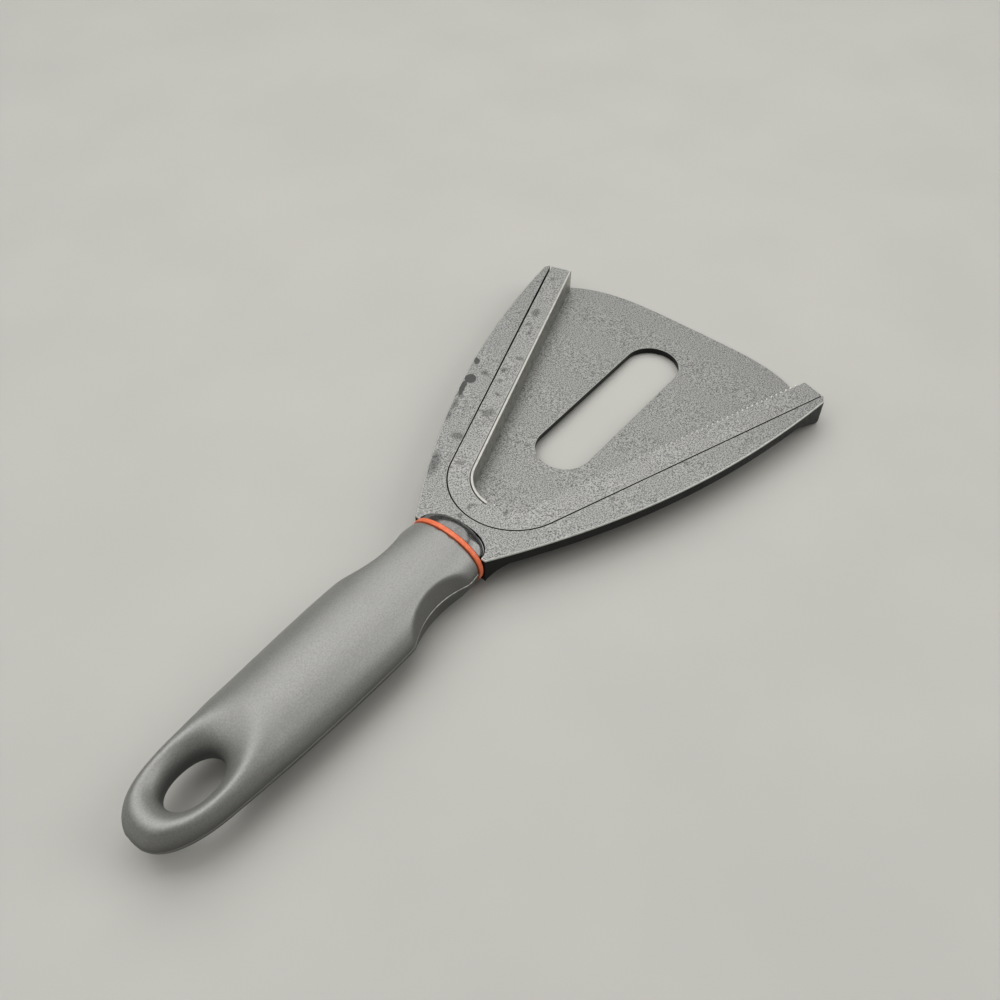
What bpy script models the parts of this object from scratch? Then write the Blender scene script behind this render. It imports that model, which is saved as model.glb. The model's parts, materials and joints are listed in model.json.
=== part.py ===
# A hand opener for jar lids: a fan shaped head with a V jaw, on a soft handle.
# It lies as it is put down, with the jaw opening upwards.
# Each piece is modelled in the tool's own frame: X from the handle to the mouth of the jaw,
# Y to the left, Z up, with the origin under the centre of the jaw's heel, level with the
# underside of the head. At the end the whole tool is laid on the table, where it rests on
# the belly of its grip and on the front edge of its plate.

from math import atan2, ceil, copysign, cos, pi, radians, sin, sqrt

import bmesh
import bpy
from mathutils import Vector
from mathutils.geometry import interpolate_bezier

MM = 0.001

# Clearances between neighbouring pieces
GAP = 0.3 * MM
SEAM = 0.34 * MM

# Jaw: two straight walls tangent to a round heel
HALF_ANGLE = radians(20.08)
HEEL_RADIUS = 12.9 * MM
WALL_WIDTH = 8.15 * MM
JAW_REACH = 96.7 * MM
TIP_LEAN = 0.31
JAW_DEPTH = 7.9 * MM

# Plate between the walls, with its see-through window
PLATE_THICKNESS = 2.4 * MM
PLATE_EDGE_ROUND = 0.35 * MM
PLATE_LIP = 0.5 * MM
PLATE_BULGE = 8.2 * MM
PLATE_BULGE_POWER = 4
WINDOW_START = 16.9 * MM
WINDOW_LENGTH = 71.4 * MM
WINDOW_WIDTH = 19.4 * MM

# Rebate by which the tray drops onto the frame's ledge
LEDGE_WIDTH = 3.5 * MM
WALL_SINK = 0.8 * MM

# Smooth steel band of the left wall and half the heel
BAND_THICKNESS = 0.9 * MM
BAND_SLACK = 0.35 * MM
BAND_PROUD = 0.15 * MM
BAND_SEAT = 0.4 * MM
BAND_END_ROUND = 0.4 * MM

# Toothed steel strip of the right wall
STRIP_THICKNESS = 1.0 * MM
TOOTH_DEPTH = 1.0 * MM
TOOTH_PITCH = 2.1 * MM
TOOTH_PROUD = 0.4 * MM
STRIP_COVER = 0.8 * MM
STRIP_END_MARGIN = 2.0 * MM
HEEL_LAND = 0.6 * MM

# Frame around the tray
NECK_LENGTH = 9.95 * MM
NECK_HALF_WIDTH = 13.6 * MM
NECK_PULL = 42.9 * MM
NECK_SLOPE = 0.644
TIP_RIM = 1.8 * MM
TIP_SWEEP = 2.1 * MM
TIP_PULL = 42.0 * MM
TIP_SLOPE = 0.142
FLANGE_HEIGHT = 4.1 * MM
FOOT_LENGTH = 12.0 * MM
NECK_FLARE_LENGTH = 7.5 * MM
UNDERCUT = 5.0 * MM
EDGE_CHAMFER = 0.4 * MM
SEAM_CHAMFER = 0.12 * MM
KEEL_CLEAR = 0.9 * MM
KEEL_POWER = 2.3

# Tang of the frame, which the handle's core holds
TANG_LENGTH = 47.0 * MM
TANG_HALF_WIDTH = 6.5 * MM
TANG_THICKNESS = 5.0 * MM
TANG_DROP = 1.6 * MM
TANG_SECTION_POWER = 5
TANG_TIP = 1.0 * MM
BARB_HEIGHT = 0.5 * MM
BARB_PITCH = 9.0 * MM
BARB_STEP = 0.1 * MM
BARB_SLOPE_SHARE = 0.7

# Glossy collar in the scallop of the deck
SCALLOP_HALF_WIDTH = 11.65 * MM
SCALLOP_DEPTH = 6.7 * MM
SCALLOP_POWER = 2.2
COLLAR_SEAT_DEPTH = 2.8 * MM
COLLAR_GROOVE = 0.35 * MM
COLLAR_DROP = 0.4 * MM
COLLAR_LEDGE = 0.85 * MM
COLLAR_END = 0.2 * MM
COLLAR_EDGE = 0.05 * MM

# Accent ring between the collar and the grip
RING_WIDTH = 1.6 * MM
RING_PROUD = 0.2 * MM
RING_ROUND = 0.5 * MM

# Rigid core inside the grip
CORE_LENGTH = 80.0 * MM
CORE_HALF_WIDTH = 9.0 * MM
CORE_HALF_HEIGHT = 6.0 * MM
CORE_TAPER = 0.88
CORE_POWER = 2.3
CORE_END_LENGTH = 2.0 * MM
CORE_END_ROUND = 1.2 * MM

# Soft grip: half widths, heights and roundness at stations along the handle, from the ring
GRIP_LENGTH = 113.6 * MM
AXIS_HEIGHT = 6.3 * MM
GRIP_STATIONS = [0.0, 17.0, 35.0, 51.0, 71.0, 86.0, 113.6]
GRIP_HALF_WIDTHS = [13.1, 15.0, 15.65, 15.45, 14.7, 13.7, 11.5]
GRIP_RISES = [9.0, 9.7, 10.2, 10.3, 10.0, 9.6, 8.4]
GRIP_DROPS = [8.4, 9.1, 9.5, 9.55, 8.95, 7.9, 7.25]
GRIP_TOP_POWERS = [2.1, 2.15, 2.05, 2.0, 2.0, 2.05, 2.1]
GRIP_BELLY_POWERS = [2.4, 2.15, 2.05, 2.05, 2.05, 2.05, 2.05]
BUTT_LENGTH = 21.4 * MM
BUTT_POWER = 2.5
BUTT_FLAT = 0.03 * MM

# Scoops for thumb and finger, whose walls lean inwards above and below the axis
SCOOP_STATION = 15.9 * MM
SCOOP_RADIUS = 26.0 * MM
SCOOP_HALF_WIDTH = 11.3 * MM
SCOOP_TOP_LEAN = 0.22
SCOOP_BELLY_LEAN = 0.07
SCOOP_FILLET = 0.7 * MM

# Hanging hole through the butt, with a rolled rim, in a dished hollow
HOLE_FROM_BUTT = 19.1 * MM
HOLE_HALF_LENGTH = 8.25 * MM
HOLE_HALF_WIDTH = 5.45 * MM
HOLE_POWER = 2.2
HOLE_FLARE = 7.5 * MM
HOLE_FLARE_HEIGHT = 8.0 * MM
HOLE_FLARE_POWER = 2.1
DISH_AHEAD = 5.0 * MM
DISH_HALF_LENGTH = 18.0 * MM
DISH_HALF_WIDTH = 10.5 * MM
DISH_DEPTH = 2.6 * MM

# Fineness of the curved surfaces
HEEL_STEPS = 13
ARM_STEPS = 13
REAR_STEPS = 4
FRONT_STEPS = 14
WINDOW_STEPS = 12
SCALLOP_STEPS = 20
COLLAR_STEPS = 18
COLLAR_TURNS = 6
KEEL_STEPS = 5
KEEL_SIDES = 24
TANG_SIDES = 20
CORE_SIDES = 28
RING_SIDES = 56
GRIP_SIDES = 40
GRIP_STEP = 3.2 * MM
BUTT_STEPS = 9
HOLE_STEPS = 10
HOLE_SIDES = 28
BELLY_STEPS = 200

# Shares of a wall's length: how close two sweep sections may be, and how far a cut overruns
SECTION_APART = 0.02
OVERRUN = 0.02

# Heights and places that follow from the sizes above
DECK = PLATE_THICKNESS + JAW_DEPTH
SEAM_RADIUS = HEEL_RADIUS + WALL_WIDTH
WALL_BOTTOM = PLATE_THICKNESS - WALL_SINK
HEEL_ANGLE = pi / 2 - HALF_ANGLE
JAW_REACH_Y = (HEEL_RADIUS + JAW_REACH * sin(HALF_ANGLE)) / cos(HALF_ANGLE)
PLATE_CORNER_X = JAW_REACH + PLATE_LIP
PLATE_FRONT = PLATE_CORNER_X + PLATE_BULGE
NECK_X = -(SEAM_RADIUS + NECK_LENGTH)
RING_X = NECK_X - GAP
GRIP_X = RING_X - RING_WIDTH - GAP
BUTT_X = GRIP_X - GRIP_LENGTH
SCALLOP_FLOOR = DECK - COLLAR_SEAT_DEPTH


# Materials

def finish(name, colour, roughness, metallic=0.0, coat=0.0):
    material = bpy.data.materials.new(name)
    material.use_nodes = True
    shader = material.node_tree.nodes["Principled BSDF"]
    shader.inputs["Base Color"].default_value = (*colour, 1.0)
    shader.inputs["Roughness"].default_value = roughness
    shader.inputs["Metallic"].default_value = metallic
    shader.inputs["Coat Weight"].default_value = coat
    material.diffuse_color = (*colour, 1.0)
    return material


# Meshes

def new_object(name, bm, material, parent):
    bmesh.ops.recalc_face_normals(bm, faces=bm.faces)
    mesh = bpy.data.meshes.new(name)
    bm.to_mesh(mesh)
    bm.free()
    mesh.shade_smooth()
    mesh.set_sharp_from_angle(angle=radians(32))
    piece = bpy.data.objects.new(name, mesh)
    bpy.context.scene.collection.objects.link(piece)
    piece.parent = parent
    if material:
        mesh.materials.append(material)
    return piece


def loft(rings, closed=False):
    # Skins a row of rings that have equally many points, and caps its ends unless closed
    bm = bmesh.new()
    rows = [[bm.verts.new(point) for point in ring] for ring in rings]
    pairs = list(zip(rows, rows[1:]))
    if closed:
        pairs.append((rows[-1], rows[0]))
    for row, following in pairs:
        for i in range(len(row)):
            j = (i + 1) % len(row)
            bm.faces.new((row[i], row[j], following[j], following[i]))
    if not closed:
        bm.faces.new(rows[0])
        bm.faces.new(rows[-1])
    return bm


def extrusion(outline, bottom, top):
    return loft([[(x, y, bottom) for x, y in outline], [(x, y, top) for x, y in outline]])


def tool_piece(target, bm, operation):
    # A cutter or an added form is a guide, which isn't part of the model
    guide = new_object(target.name + "_guide", bm, None, target.parent)
    guide.hide_render = True
    guide.display_type = "WIRE"
    modifier = target.modifiers.new(operation.lower(), "BOOLEAN")
    modifier.operation = operation
    modifier.solver = "EXACT"
    modifier.object = guide
    return guide


def cut(target, bm):
    return tool_piece(target, bm, "DIFFERENCE")


def add(target, bm):
    return tool_piece(target, bm, "UNION")


# Curves

def between(stations, values, at):
    # Smooth curve through the values, level with neither end
    last = len(stations) - 1

    def slope(i):
        low, high = max(i - 1, 0), min(i + 1, last)
        return (values[high] - values[low]) / (stations[high] - stations[low])

    at = min(max(at, stations[0]), stations[last])
    i = max(k for k in range(last) if stations[k] <= at)
    span = stations[i + 1] - stations[i]
    t = (at - stations[i]) / span
    return ((2 * t**3 - 3 * t**2 + 1) * values[i] + (t**3 - 2 * t**2 + t) * span * slope(i)
            + (3 * t**2 - 2 * t**3) * values[i + 1] + (t**3 - t**2) * span * slope(i + 1))


def curved(share, power):
    # A cosine or sine bent by the power of a rounded oval
    return copysign(abs(share) ** (2 / power), share)


def oval(half_width, rise, drop, top_power, belly_power, count):
    # Points of a rounded oval about (0, 0), with its own height and roundness above and below
    points = []
    for k in range(count):
        angle = 2 * pi * (k + 0.5) / count
        above = sin(angle) > 0
        power = top_power if above else belly_power
        height = rise if above else drop
        points.append((half_width * curved(cos(angle), power), height * curved(sin(angle), power)))
    return points


def wall_length(offset):
    # Length of a straight wall at an offset from the jaw's middle line, up to the leaning tip
    reach = JAW_REACH + TIP_LEAN * (JAW_REACH_Y - offset * cos(HALF_ANGLE))
    return (reach + offset * sin(HALF_ANGLE)) / (cos(HALF_ANGLE) + TIP_LEAN * sin(HALF_ANGLE))


def jaw_point(place, offset, short=0.0):
    # place runs from -2, the left tip, over -1 to 1 round the heel, to 2, the right tip
    side = 1 if place < 0 else -1
    if abs(place) <= 1:
        angle = pi - abs(place) * HEEL_ANGLE
        return offset * cos(angle), side * offset * sin(angle)
    along = (abs(place) - 1) * (wall_length(offset) - short)
    x = -offset * sin(HALF_ANGLE) + along * cos(HALF_ANGLE)
    return x, side * (offset * cos(HALF_ANGLE) + along * sin(HALF_ANGLE))


def heel_unit():
    # Length of the jaw's face round one side of the heel
    return HEEL_RADIUS * HEEL_ANGLE


def jaw_places(start=-2.0, end=2.0, wall_steps=2):
    round_heel = [k / HEEL_STEPS for k in range(-HEEL_STEPS, HEEL_STEPS + 1)]
    left = [-2 + k / wall_steps for k in range(wall_steps)]
    right = [2 - k / wall_steps for k in reversed(range(wall_steps))]
    inside = [p for p in left + round_heel + right if start + SECTION_APART < p < end - SECTION_APART]
    return [start] + inside + [end]


def jaw_line(offset, short=0.0):
    return [jaw_point(place, offset, short) for place in jaw_places()]


def jaw_sweep(profile, places, short=0.0):
    # Sweeps a profile of (offset, height) points along the jaw
    return loft([[(*jaw_point(place, offset, short), z) for offset, z in profile]
                 for place in places])


def plate_front(y):
    return PLATE_FRONT - PLATE_BULGE * (abs(y) / JAW_REACH_Y) ** PLATE_BULGE_POWER


# Tray: the jaw's wall and the plate with its window, in one moulding

def make_tray(parent, material):
    ledge_offset = SEAM_RADIUS - SEAM / 2 - LEDGE_WIDTH
    outer = SEAM_RADIUS - SEAM / 2
    side = jaw_line(ledge_offset, short=GAP)
    corner = JAW_REACH_Y + TIP_LEAN * PLATE_LIP
    front = [corner * (2 * k / FRONT_STEPS - 1) for k in range(FRONT_STEPS + 1)]
    outline = side + [(plate_front(y), y) for y in front]
    tray = new_object("jaw_tray", extrusion(outline, 0.0, PLATE_THICKNESS), material, parent)
    edges = tray.modifiers.new("edge round", "BEVEL")
    edges.width = PLATE_EDGE_ROUND
    edges.segments = 2
    edges.limit_method = "ANGLE"
    edges.angle_limit = radians(50)

    chamfer = SEAM_CHAMFER
    wall = [(HEEL_RADIUS, WALL_BOTTOM), (outer, WALL_BOTTOM), (outer, DECK - chamfer),
            (outer - chamfer, DECK), (HEEL_RADIUS + chamfer, DECK), (HEEL_RADIUS, DECK - chamfer)]
    add(tray, jaw_sweep(wall, jaw_places()))

    radius = WINDOW_WIDTH / 2
    ends = [(WINDOW_START + WINDOW_LENGTH - radius, -pi / 2), (WINDOW_START + radius, pi / 2)]
    window = []
    for x, start in ends:
        for k in range(WINDOW_STEPS + 1):
            angle = start + pi * k / WINDOW_STEPS
            window.append((x + radius * cos(angle), radius * sin(angle)))
    cut(tray, extrusion(window, -PLATE_THICKNESS, 2 * PLATE_THICKNESS))

    floor = PLATE_THICKNESS - BAND_SEAT
    back = HEEL_RADIUS + BAND_THICKNESS + BAND_SLACK
    face = HEEL_RADIUS - GAP
    over = DECK + JAW_DEPTH
    land = HEEL_LAND / heel_unit()
    slot = [(face, floor), (back, floor), (back, over), (face, over)]
    cut(tray, jaw_sweep(slot, jaw_places(-2 - OVERRUN, GAP / heel_unit())))

    strip_back = HEEL_RADIUS - TOOTH_PROUD + TOOTH_DEPTH + STRIP_THICKNESS + GAP
    pocket_face = HEEL_RADIUS - TOOTH_PROUD - GAP
    cover = DECK - STRIP_COVER
    pocket = [(pocket_face, floor), (strip_back, floor), (strip_back, cover), (pocket_face, cover)]
    end = 2 - (STRIP_END_MARGIN - GAP) / wall_length(HEEL_RADIUS)
    cut(tray, jaw_sweep(pocket, jaw_places(land, end)))
    return tray


# Steel band and toothed strip

def make_band(parent, material):
    inner, outer = HEEL_RADIUS, HEEL_RADIUS + BAND_THICKNESS
    foot, top = PLATE_THICKNESS - BAND_SEAT + GAP, DECK + BAND_PROUD
    edge = BAND_THICKNESS / 3
    begin = -2 + GAP / wall_length(HEEL_RADIUS)
    rounded = -BAND_END_ROUND / heel_unit()
    sections = [(place, 0.0) for place in jaw_places(begin, 0.0) if place < rounded]
    # The band ends at the middle of the heel with a rounded upper corner
    for k in range(4):
        angle = pi / 2 * k / 3
        sections.append((rounded * (1 - sin(angle)), BAND_END_ROUND * (1 - cos(angle))))
    rings = []
    for place, fall in sections:
        high = top - fall
        profile = [(inner, foot), (outer, foot), (outer, high - edge), (outer - edge, high),
                   (inner + edge, high), (inner, high - edge)]
        rings.append([(*jaw_point(place, offset), z) for offset, z in profile])
    return new_object("steel_band", loft(rings), material, parent)


def make_strip(parent, material):
    tip = HEEL_RADIUS - TOOTH_PROUD
    root = tip + TOOTH_DEPTH
    back = root + STRIP_THICKNESS
    foot = PLATE_THICKNESS - BAND_SEAT + GAP
    top = DECK - STRIP_COVER - GAP
    wall_unit = wall_length(HEEL_RADIUS)
    start = HEEL_LAND + GAP
    length = heel_unit() + wall_unit - STRIP_END_MARGIN - start
    teeth = int(length / TOOTH_PITCH)

    def place(distance):
        if distance < heel_unit():
            return distance / heel_unit()
        return 1 + (distance - heel_unit()) / wall_unit

    rings = []
    for k in range(2 * teeth + 1):
        at = place(start + k * TOOTH_PITCH / 2)
        crest = tip if k % 2 else root
        profile = [(crest, foot), (back, foot), (back, top), (crest, top)]
        rings.append([(*jaw_point(at, offset), z) for offset, z in profile])
    return new_object("toothed_strip", loft(rings), material, parent)


# Frame: the outer moulding, from tip to tip round the neck, with the tang

def outline_half(count):
    seam_tip = jaw_point(-2, SEAM_RADIUS + SEAM / 2)
    tip = Vector((seam_tip[0] - TIP_SWEEP, seam_tip[1] + TIP_RIM))
    neck = Vector((NECK_X, NECK_HALF_WIDTH))
    pull_tip = tip - TIP_PULL * Vector((1, TIP_SLOPE))
    pull_neck = neck + NECK_PULL * Vector((1, NECK_SLOPE))
    return interpolate_bezier(tip, pull_tip, pull_neck, neck, count)


def flange_foot(x, tip_x):
    # Share of the full height that the outer side has, from the tips' feet to the neck
    foot = (x - (tip_x - FOOT_LENGTH)) / FOOT_LENGTH
    neck = (NECK_X + NECK_FLARE_LENGTH - x) / NECK_FLARE_LENGTH
    return min(max(foot, neck**2 if neck > 0 else 0.0, 0.0), 1.0)


def make_frame(parent, material):
    groove = SEAM_RADIUS + SEAM / 2
    ledge = groove - LEDGE_WIDTH
    ledge_top = WALL_BOTTOM - GAP
    half = HEEL_STEPS + ARM_STEPS
    outer = outline_half(half + 1 - REAR_STEPS)
    rear = [Vector((NECK_X, NECK_HALF_WIDTH * (1 - k / REAR_STEPS)))
            for k in range(1, REAR_STEPS + 1)]
    outer_half = [Vector((p.x, p.y)) for p in outer] + rear
    places = [-2 + k / ARM_STEPS for k in range(ARM_STEPS)]
    places += [-1 + k / HEEL_STEPS for k in range(HEEL_STEPS + 1)]
    tip_x = outer_half[0].x
    sides = []
    for k, (place, point) in enumerate(zip(places, outer_half)):
        share = flange_foot(point.x, tip_x)
        height = FLANGE_HEIGHT + share * (DECK - 2 * EDGE_CHAMFER - FLANGE_HEIGHT)
        under = EDGE_CHAMFER + (1 - share) * (UNDERCUT - EDGE_CHAMFER)
        before = outer_half[max(k - 1, 0)]
        after = outer_half[min(k + 1, half)]
        along = (after - before).normalized()
        inward = Vector((-along.y, along.x))
        if k > half - REAR_STEPS:
            inward = Vector((1.0, 0.0))
        if k == 0:
            inward = Vector((TIP_SWEEP, -TIP_RIM)).normalized()
        sides.append((place, point, inward, height, under))

    def ring(place, point, inward, height, under, mirror):
        side = -1 if mirror else 1
        profile = [(0.0, DECK - EDGE_CHAMFER), (0.0, DECK - height)]
        section = []
        for shift, z in [(EDGE_CHAMFER, DECK), *profile, (under, 0.0)]:
            spot = point + inward * shift
            section.append((spot.x, side * spot.y, z))
        for offset, z in [(ledge, 0.0), (ledge, ledge_top), (groove, ledge_top),
                          (groove, DECK - SEAM_CHAMFER), (groove + SEAM_CHAMFER, DECK)]:
            x, y = jaw_point(place, offset)
            section.append((x, side * y, z))
        return section

    left = [ring(*side, mirror=False) for side in sides]
    right = [ring(*side, mirror=True) for side in reversed(sides[:-1])]
    frame = new_object("jaw_frame", loft(left + right), material, parent)
    add(frame, keel())
    cut(frame, scallop_cutter())
    add(frame, tang())
    return frame


def keel():
    # Rounded underside of the neck, from the ring's full section up into the head
    rings = []
    length = NECK_LENGTH - KEEL_CLEAR
    low = AXIS_HEIGHT - GRIP_DROPS[0] * MM + GAP
    for k in range(KEEL_STEPS + 1):
        t = k / KEEL_STEPS
        bottom = low * (1 - t) + EDGE_CHAMFER * t
        rise = DECK - EDGE_CHAMFER - AXIS_HEIGHT
        section = oval(NECK_HALF_WIDTH - EDGE_CHAMFER, rise, AXIS_HEIGHT - bottom,
                       KEEL_POWER, KEEL_POWER, KEEL_SIDES)
        rings.append([(NECK_X + length * t, y, AXIS_HEIGHT + z) for y, z in section])
    return loft(rings)


def scallop_line(extra, count):
    half_width, depth = SCALLOP_HALF_WIDTH + extra, SCALLOP_DEPTH + extra
    return [(NECK_X + depth * curved(cos(a), SCALLOP_POWER), half_width * curved(sin(a), SCALLOP_POWER))
            for a in (pi * (k / count - 0.5) for k in range(count + 1))]


def scallop_cutter():
    line = scallop_line(COLLAR_GROOVE, SCALLOP_STEPS)
    behind = NECK_X - SCALLOP_DEPTH
    outline = line + [(behind, line[-1][1]), (behind, line[0][1])]
    return extrusion(outline, SCALLOP_FLOOR, DECK + JAW_DEPTH)


def tang_section(wider, higher):
    half_height = TANG_THICKNESS / 2 + higher
    return oval(TANG_HALF_WIDTH + wider, half_height, half_height,
                TANG_SECTION_POWER, TANG_SECTION_POWER, TANG_SIDES)


def tang():
    rings = []
    middle = AXIS_HEIGHT - TANG_DROP
    x = NECK_X + NECK_LENGTH / 2
    end = NECK_X - TANG_LENGTH
    barbs = int(TANG_LENGTH / BARB_PITCH) - 1
    stations = [(x, 0.0), (NECK_X - BARB_PITCH, 0.0)]
    for k in range(1, barbs + 1):
        at = NECK_X - BARB_PITCH * k
        stations += [(at - BARB_STEP, BARB_HEIGHT), (at - BARB_PITCH * BARB_SLOPE_SHARE, 0.0)]
    stations += [(end + TANG_TIP, 0.0), (end, -TANG_TIP)]
    for at, extra in stations:
        rings.append([(at, y, middle + z) for y, z in tang_section(extra, 0.0)])
    return loft(rings)


# Collar: the glossy dome in the scallop

def make_collar(parent, material):
    base = SCALLOP_FLOOR + GAP
    rim = DECK - COLLAR_DROP
    rings = []
    dome_share = 1 - COLLAR_LEDGE / SCALLOP_DEPTH
    for k in range(COLLAR_STEPS + 1):
        across = -cos(pi * k / COLLAR_STEPS) * (1 - COLLAR_END / SCALLOP_HALF_WIDTH)
        y = SCALLOP_HALF_WIDTH * across
        depth = SCALLOP_DEPTH * (1 - abs(across) ** SCALLOP_POWER) ** (1 / SCALLOP_POWER)
        inside = max(0.0, 1 - abs(y / (GRIP_HALF_WIDTHS[0] * MM)) ** GRIP_TOP_POWERS[0])
        crown = AXIS_HEIGHT + GRIP_RISES[0] * MM * inside ** (1 / GRIP_TOP_POWERS[0])
        crown = max(crown - COLLAR_DROP, rim + COLLAR_EDGE)
        ring = [(NECK_X, y, base)]
        for n in range(COLLAR_TURNS + 1):
            angle = pi / 2 * (1 - n / COLLAR_TURNS)
            dome = depth * dome_share * cos(angle)
            ring.append((NECK_X + dome, y, rim + (crown - rim) * sin(angle)))
        ring.append((NECK_X + depth, y, rim))
        ring.append((NECK_X + depth, y, base))
        rings.append(ring)
    return new_object("neck_collar", loft(rings), material, parent)


# Accent ring, core and grip

def core_section(x, extra=0.0):
    taper = 1 - (1 - CORE_TAPER) * (NECK_X - x) / CORE_LENGTH
    half_width = CORE_HALF_WIDTH * taper + extra
    half_height = CORE_HALF_HEIGHT * taper + extra
    section = oval(half_width, half_height, half_height, CORE_POWER, CORE_POWER, CORE_SIDES)
    return [(x, y, AXIS_HEIGHT + z) for y, z in section]


def make_ring(parent, material):
    outer = oval(GRIP_HALF_WIDTHS[0] * MM + RING_PROUD, GRIP_RISES[0] * MM + RING_PROUD,
                 GRIP_DROPS[0] * MM + RING_PROUD, GRIP_TOP_POWERS[0], GRIP_BELLY_POWERS[0],
                 RING_SIDES)
    inner = oval(CORE_HALF_WIDTH + GAP, CORE_HALF_HEIGHT + GAP, CORE_HALF_HEIGHT + GAP,
                 CORE_POWER, CORE_POWER, RING_SIDES)
    front, rear = RING_X, RING_X - RING_WIDTH
    rings = []
    for (yo, zo), (yi, zi) in zip(outer, inner):
        across = Vector((yo - yi, zo - zi))
        shy = 1 - RING_ROUND / across.length
        section = []
        for x, share in [(front, 0.0), (front, shy), (front - RING_ROUND / 2, 1.0),
                         (rear + RING_ROUND / 2, 1.0), (rear, shy), (rear, 0.0)]:
            section.append((x, yi + across.x * share, AXIS_HEIGHT + zi + across.y * share))
        rings.append(section)
    return new_object("accent_ring", loft(rings, closed=True), material, parent)


def make_core(parent, material):
    end = NECK_X - CORE_LENGTH
    xs = [RING_X, (RING_X + end) / 2, end + CORE_END_LENGTH]
    rings = [core_section(x) for x in xs] + [core_section(end, -CORE_END_ROUND)]
    core = new_object("handle_core", loft(rings), material, parent)
    clear = BARB_HEIGHT + GAP
    socket = []
    for x in (NECK_X + NECK_LENGTH, NECK_X - TANG_LENGTH - GAP):
        section = tang_section(clear, GAP)
        socket.append([(x, y, AXIS_HEIGHT - TANG_DROP + z) for y, z in section])
    cut(core, loft(socket))
    return core


def grip_size(x):
    # Half width, rise and drop of the grip at x, before the scoops and the dish
    at = (GRIP_X - x) / MM
    width = between(GRIP_STATIONS, GRIP_HALF_WIDTHS, at) * MM
    rise = between(GRIP_STATIONS, GRIP_RISES, at) * MM
    drop = between(GRIP_STATIONS, GRIP_DROPS, at) * MM
    into_butt = (BUTT_X + BUTT_LENGTH - x) / BUTT_LENGTH
    if into_butt > 0:
        closing = max(0.0, 1 - into_butt**BUTT_POWER) ** (1 / BUTT_POWER)
        width, rise, drop = width * closing, rise * closing, drop * closing
    return width, rise, drop


def grip_section(x):
    width, rise, drop = grip_size(x)
    at = (GRIP_X - x) / MM
    top_power = between(GRIP_STATIONS, GRIP_TOP_POWERS, at)
    belly_power = between(GRIP_STATIONS, GRIP_BELLY_POWERS, at)
    away = x - (GRIP_X - SCOOP_STATION)
    waist = SCOOP_HALF_WIDTH + SCOOP_RADIUS - sqrt(max(SCOOP_RADIUS**2 - away**2, 0.0))
    hole_x = BUTT_X + HOLE_FROM_BUTT
    section = []
    for y, z in oval(width, rise, drop, top_power, belly_power, GRIP_SIDES):
        side = abs(y)
        scoop = waist - (SCOOP_TOP_LEAN if z > 0 else SCOOP_BELLY_LEAN) * abs(z)
        side = (side + scoop - sqrt((side - scoop) ** 2 + SCOOP_FILLET**2)) / 2
        y = copysign(side, y)
        near = ((x - hole_x - DISH_AHEAD) / DISH_HALF_LENGTH) ** 2 + (y / DISH_HALF_WIDTH) ** 2
        if z > 0 and near < 1:
            z -= DISH_DEPTH * (1 - near) ** 2
        section.append((x, y, AXIS_HEIGHT + z))
    return section


def make_grip(parent, material):
    straight = GRIP_LENGTH - BUTT_LENGTH
    steps = ceil(straight / GRIP_STEP)
    xs = [GRIP_X - straight * k / steps for k in range(steps)]
    xs += [BUTT_X + BUTT_LENGTH * (1 - sin(pi / 2 * k / BUTT_STEPS)) for k in range(BUTT_STEPS)]
    xs.append(BUTT_X + BUTT_FLAT)
    grip = new_object("soft_grip", loft([grip_section(x) for x in xs]), material, parent)

    end = NECK_X - CORE_LENGTH - GAP
    cavity = [core_section(x, GAP) for x in (NECK_X + NECK_LENGTH, end)]
    cut(grip, loft(cavity))

    hole_x = BUTT_X + HOLE_FROM_BUTT
    reach = max(GRIP_RISES + GRIP_DROPS) * MM + GAP
    rings = []
    for k in range(HOLE_STEPS + 1):
        height = reach * (2 * k / HOLE_STEPS - 1)
        flare = HOLE_FLARE * abs(height / HOLE_FLARE_HEIGHT) ** HOLE_FLARE_POWER
        half_width = HOLE_HALF_WIDTH + flare
        loop = oval(HOLE_HALF_LENGTH + flare, half_width, half_width,
                    HOLE_POWER, HOLE_POWER, HOLE_SIDES)
        rings.append([(hole_x + x, y, AXIS_HEIGHT + height) for x, y in loop])
    cut(grip, loft(rings))
    return grip


# Laying the tool down

def resting_tilt():
    # The grip's belly hangs below the head, so the head slopes down to the plate's front edge
    tilt = 0.0
    for k in range(BELLY_STEPS):
        x = GRIP_X - GRIP_LENGTH * k / BELLY_STEPS
        belly = AXIS_HEIGHT - grip_size(x)[2]
        tilt = max(tilt, atan2(-belly, PLATE_FRONT - PLATE_EDGE_ROUND - x))
    return tilt


def lay_down(tool, pieces):
    tool.rotation_euler = (0.0, resting_tilt(), 0.0)
    bpy.context.view_layer.update()
    graph = bpy.context.evaluated_depsgraph_get()
    corners = []
    for piece in pieces:
        shown = piece.evaluated_get(graph)
        mesh = shown.to_mesh()
        corners += [shown.matrix_world @ vertex.co for vertex in mesh.vertices]
        shown.to_mesh_clear()
    low = Vector([min(corner[i] for corner in corners) for i in range(3)])
    high = Vector([max(corner[i] for corner in corners) for i in range(3)])
    middle = (low + high) / 2
    tool.location = (-middle.x, -middle.y, -low.z)
    bpy.context.view_layer.update()


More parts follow.
